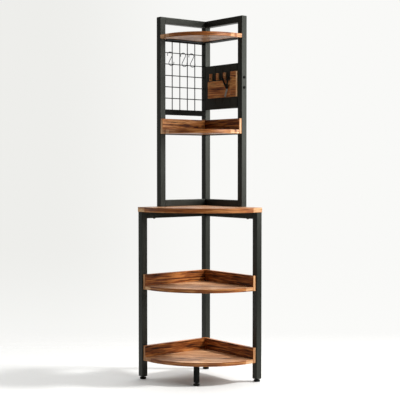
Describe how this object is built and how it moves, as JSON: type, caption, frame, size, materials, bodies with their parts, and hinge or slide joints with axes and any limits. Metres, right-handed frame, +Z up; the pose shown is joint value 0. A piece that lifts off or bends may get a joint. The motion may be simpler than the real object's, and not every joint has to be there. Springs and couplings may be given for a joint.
{
  "type": "corner shelving rack",
  "caption": "Tall quarter-round corner rack: square steel posts, bowed lipped shelves, a counter, and a hutch with a wire grid, hanging hooks and a tool panel.",
  "frame": {"origin": "middle of the square footprint, on the floor under the feet", "axes": "+Z up along the posts; +X along the right-hand wall away from the room's corner; -Y along the left-hand wall away from the corner, so the corner is at -X +Y"},
  "size_m": [0.407, 0.407, 1.68],
  "materials": {
    "rustic_board": "satin rustic brown wood-grain laminate",
    "black_steel": "satin black powder coat",
    "black_plastic": "moulded matte black",
    "bright_steel": "brushed"
  },
  "bodies": {
    "rack_frame": {"counter_top": "rustic_board", "bottom_shelf_board": "rustic_board", "bottom_shelf_left_lip": "rustic_board", "bottom_shelf_right_lip": "rustic_board", "mid_shelf_board": "rustic_board", "mid_shelf_left_lip": "rustic_board", "mid_shelf_right_lip": "rustic_board", "hutch_shelf_board": "rustic_board", "hutch_shelf_left_lip": "rustic_board", "hutch_shelf_right_lip": "rustic_board", "top_shelf_board": "rustic_board", "holder_board": "rustic_board", "holder_end_block": "rustic_board", "holder_block_1": "rustic_board", "holder_block_2": "rustic_board", "holder_block_3": "rustic_board", "left_leg_plug": "black_plastic", "right_leg_plug": "black_plastic", "back_leg_plug": "black_plastic", "front_leg_plug": "black_plastic", "hutch_left_cap": "black_plastic", "hutch_right_cap": "black_plastic", "hutch_back_cap": "black_plastic", "hook_plate": "bright_steel", "left_leg": "black_steel", "right_leg": "black_steel", "back_leg": "black_steel", "front_leg": "black_steel", "left_apron": "black_steel", "right_apron": "black_steel", "left_counter_screw": "black_steel", "right_counter_screw": "black_steel", "hutch_left_post": "black_steel", "hutch_right_post": "black_steel", "hutch_back_post": "black_steel", "hutch_left_top_rail": "black_steel", "hutch_right_top_rail": "black_steel", "hutch_left_base_rail": "black_steel", "hutch_right_base_rail": "black_steel", "hutch_shelf_left_strip": "black_steel", "hutch_shelf_right_strip": "black_steel", "top_shelf_left_strip": "black_steel", "top_shelf_right_strip": "black_steel", "grid_rail": "black_steel", "wire_grid": "black_steel", "tool_panel": "black_steel", "panel_left_fold": "black_steel", "panel_right_fold": "black_steel", "panel_top_fold": "black_steel", "panel_bottom_fold": "black_steel", "panel_lower_bolt": "black_steel", "panel_upper_bolt": "black_steel", "twin_hook": "black_steel"},
    "left_foot": {"left_foot": "black_plastic"},
    "right_foot": {"right_foot": "black_plastic"},
    "back_foot": {"back_foot": "black_plastic"},
    "front_foot": {"front_foot": "black_plastic"},
    "s_hook_1": {"s_hook_1": "black_steel"},
    "s_hook_2": {"s_hook_2": "black_steel"},
    "s_hook_3": {"s_hook_3": "black_steel"}
  },
  "joints": [
    {"name": "left_foot_level", "type": "slide", "parent": "rack_frame", "child": "left_foot", "axis": [0, 0, 1], "range_m": [-0.012, 0.002]},
    {"name": "right_foot_level", "type": "slide", "parent": "rack_frame", "child": "right_foot", "axis": [0, 0, 1], "range_m": [-0.012, 0.002]},
    {"name": "back_foot_level", "type": "slide", "parent": "rack_frame", "child": "back_foot", "axis": [0, 0, 1], "range_m": [-0.012, 0.002]},
    {"name": "front_foot_level", "type": "slide", "parent": "rack_frame", "child": "front_foot", "axis": [0, 0, 1], "range_m": [-0.012, 0.002]},
    {"name": "s_hook_1_swing", "type": "hinge", "parent": "rack_frame", "child": "s_hook_1", "pos_m": [-0.1875, -0.02452, 1.5182], "axis": [0, 1, 0], "range_deg": [-1.5, 7]},
    {"name": "s_hook_2_swing", "type": "hinge", "parent": "rack_frame", "child": "s_hook_2", "pos_m": [-0.1875, 0.05319, 1.5182], "axis": [0, 1, 0], "range_deg": [-1.5, 7]},
    {"name": "s_hook_3_swing", "type": "hinge", "parent": "rack_frame", "child": "s_hook_3", "pos_m": [-0.1875, 0.10251, 1.5182], "axis": [0, 1, 0], "range_deg": [-1.5, 7]}
  ]
}
